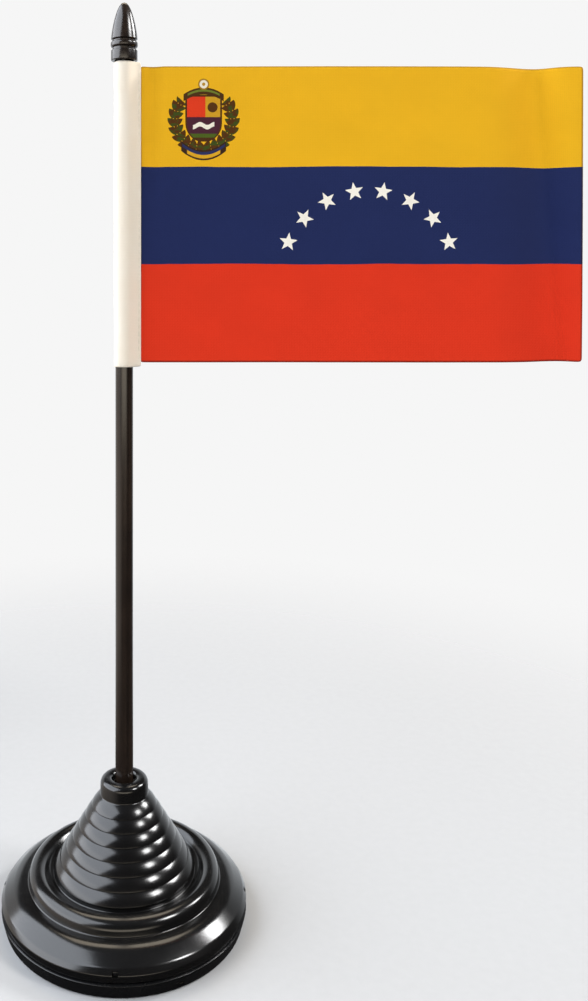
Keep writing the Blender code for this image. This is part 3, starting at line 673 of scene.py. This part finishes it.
# The threads are drawn 0.55 mm apart, about twice their real spacing, so that they show. The dye's depth
# varies a little over the cloth.
relief = woven(tree, (along, up), 0.55 * MM)
shade = node("MapRange", relief, To_Min=0.93, To_Max=1.0)
depth = node("TexNoise", Vector=place, Scale=7.0, Detail=4.0)
depth = node("MapRange", depth, To_Min=0.93, To_Max=1.07)
colour = node("VectorMath:SCALE", colour, Scale=node("Math:MULTIPLY", shade, depth))
# A darker line is painted along the top, bottom and fly edges: painted shade at the cloth's cut edges.
from_edge = node("Math:MINIMUM", node("Math:MINIMUM", up, node("Math:SUBTRACT", flag_height, up)),
                 node("Math:SUBTRACT", flag_length, along))
painted_edge_shade = node("MapRange", from_edge, From_Min=0.2 * MM, From_Max=0.7 * MM, To_Min=0.55, To_Max=0.0)
colour = node("Mix:RGBA", painted_edge_shade, colour, linear("3b2418"))
tree.links.new(colour, shader.inputs["Base Color"])
tree.links.new(node("Bump", Strength=0.3, Distance=0.08 * MM, Height=relief), shader.inputs["Normal"])
mesh.materials.append(dyed)
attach(flag, "flag")
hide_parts("flag_cloth")

# ---------------------------------------------------------------------------------------------------------
# Seam stitches
# Lockstitch down the hoist in cream thread, a stitch every 2.5 mm, through both layers of tape and the
# panel between them. Each stitch sinks at its ends, where the thread goes through the cloth.
# ---------------------------------------------------------------------------------------------------------
stitch_pitch = 2.5 * MM
stitch_radius, stitch_half = 0.16 * MM, stitch_pitch * 0.44
stitch_x = seam_x - 0.75 * MM
tape_face = 0.5 * MM                    # from the panel's middle to where the stitches lie
seam_foot, seam_length = cloth_low.z + 1.0 * MM, 98.0 * MM
bm = bmesh.new()
for side in (-tape_face, tape_face):
    for stitch in range(int(seam_length / stitch_pitch)):
        place = Matrix.Translation((stitch_x, side, seam_foot + (stitch + 0.5) * stitch_pitch))
        place @= Matrix.Diagonal((stitch_radius, stitch_radius, stitch_half, 1.0))
        bmesh.ops.create_uvsphere(bm, u_segments=8, v_segments=8, radius=1.0, matrix=place)
mesh = bpy.data.meshes.new("seam_stitches")
bm.to_mesh(mesh)
bm.free()
mesh.shade_smooth()
stitches = bpy.data.objects.new("seam_stitches", mesh)
bpy.context.scene.collection.objects.link(stitches)
# Spun polyester thread is a soft cream; its twisted plies are painted as slanting bands of light and shade.
thread, tree, shader = new_finish("cream_spun_thread", Roughness=0.7)
place = add_node(tree, "TexCoord").node.outputs["Object"]
ply_shading = add_node(tree, "TexWave", Vector=place, Scale=1400.0, Distortion=1.0, wave_type="BANDS",
               bands_direction="DIAGONAL")
tint = add_node(tree, "Mix:RGBA", ply_shading, linear("d9cdb4"), linear("f4ead6"))
tree.links.new(tint, shader.inputs["Base Color"])
mesh.materials.append(thread)
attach(stitches, "flag")
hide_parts("hoist_seam_thread")

# ---------------------------------------------------------------------------------------------------------
# Studio
# A plain pale floor and backdrop, a broad softbox on the left, two small windows on the right and a card
# high at the back. The camera looks level at the flag's lower half, shifted down to take in the base.
# ---------------------------------------------------------------------------------------------------------
scene = bpy.context.scene
scene.view_settings.view_transform = "Standard"
floor_z = -0.1 * MM                     # just clear of the underside
bm = bmesh.new()
bmesh.ops.create_circle(bm, cap_ends=True, segments=96, radius=1.2,
                        matrix=Matrix.Translation((0.0, 0.0, floor_z)))
mesh = bpy.data.meshes.new("floor")
bm.to_mesh(mesh)
bm.free()
floor = bpy.data.objects.new("floor", mesh)
scene.collection.objects.link(floor)
# Uncoated paper is matt, with a faint fibre, so it takes soft shadows and no reflections.
paper, tree, shader = new_finish("pale_paper", Roughness=0.9, Specular_IOR_Level=0.2)
place = add_node(tree, "TexCoord").node.outputs["Object"]
fibre = add_node(tree, "TexNoise", Vector=place, Scale=300.0, Detail=3.0)
tint = add_node(tree, "Mix:RGBA", fibre, linear("a4a4a4"), linear("a9a9a9"))
tree.links.new(tint, shader.inputs["Base Color"])
# The paper fades into the pale backdrop away from the stand.
away = add_node(tree, "VectorMath:LENGTH", place)
shown = add_node(tree, "MapRange", away, From_Min=0.16, From_Max=0.42, To_Min=1.0, To_Max=0.0,
                 interpolation_type="SMOOTHSTEP")
tree.links.new(shown, shader.inputs["Alpha"])
mesh.materials.append(paper)
floor.visible_glossy = False

world = bpy.data.worlds.new("studio")
scene.world = world
world.use_nodes = True
tree = world.node_tree
ray = add_node(tree, "LightPath").node
# Dark to the gloss of the plastic, a little lighter overhead, with pale cards near the level of the eye:
# on the left, behind and in front, each by its axis, where it starts, where it is full, height and colour.
way = add_node(tree, "SeparateXYZ", add_node(tree, "TexCoord").node.outputs["Generated"]).node
level = add_node(tree, "Math:ABSOLUTE", way.outputs["Z"])
overhead = add_node(tree, "MapRange", way.outputs["Z"], From_Min=0.7, From_Max=0.95)
room = add_node(tree, "Mix:RGBA", overhead, linear("313030"), linear("5a5d60"))
for axis, start, full, height, colour in (("X", -0.35, -0.85, 0.48, (0.9, 0.8, 0.7, 1.0)),
                                          ("Y", 0.4, 0.85, 0.48, (1.1, 1.15, 1.2, 1.0)),
                                          ("Y", -0.75, -0.95, 0.16, (3.0, 2.7, 2.2, 1.0))):
    low = add_node(tree, "MapRange", level, From_Min=0.8 * height, From_Max=height, To_Min=1.0, To_Max=0.0)
    side = add_node(tree, "MapRange", way.outputs[axis], From_Min=start, From_Max=full)
    room = add_node(tree, "Mix:RGBA", add_node(tree, "Math:MULTIPLY", low, side), room, colour)
room = add_node(tree, "Mix:RGBA", ray.outputs["Is Glossy Ray"], linear("747476"), room)
tree.links.new(add_node(tree, "Mix:RGBA", ray.outputs["Is Camera Ray"], room, linear("f6f6f6")),
               tree.nodes["Background"].inputs["Color"])

base_middle = Vector((0.0, 0.0, 0.03))


def softbox(name, turn, rise, distance, size, power, colour):
    """A panel of light that faces the base, at a turn from the front towards the fly and a rise."""
    light = bpy.data.lights.new(name, "AREA")
    light.shape = "RECTANGLE"
    light.size, light.size_y = size
    light.energy = power
    light.color = linear(colour)[:3]
    lamp = bpy.data.objects.new(name, light)
    turn, rise = radians(turn), radians(rise)
    toward = Vector((sin(turn) * cos(rise), -cos(turn) * cos(rise), sin(rise)))
    lamp.location = base_middle + toward * distance
    lamp.rotation_euler = toward.to_track_quat("Z", "Y").to_euler()
    lamp.visible_camera = False
    scene.collection.objects.link(lamp)


softbox("left_softbox", -80, 36, 1.5, (2.3, 1.7), 64.0, "eef5ff")
softbox("window_one", 60, 40, 1.5, (0.34, 0.36), 13.0, "ffffff")
softbox("window_two", 104, 37, 1.5, (0.36, 0.38), 15.0, "ffffff")
softbox("back_card", 180, 68, 1.2, (0.8, 0.42), 5.0, "f0e2cc")

camera = bpy.data.cameras.new("camera")
camera.sensor_width = 36.0
camera.lens = 35.1
camera.shift_x, camera.shift_y = 0.140, -0.2344
viewer = bpy.data.objects.new("camera", camera)
viewer.location = (0.010, -0.330, 0.218)
viewer.rotation_euler = (pi / 2, 0.0, 0.0)
scene.collection.objects.link(viewer)
scene.camera = viewer
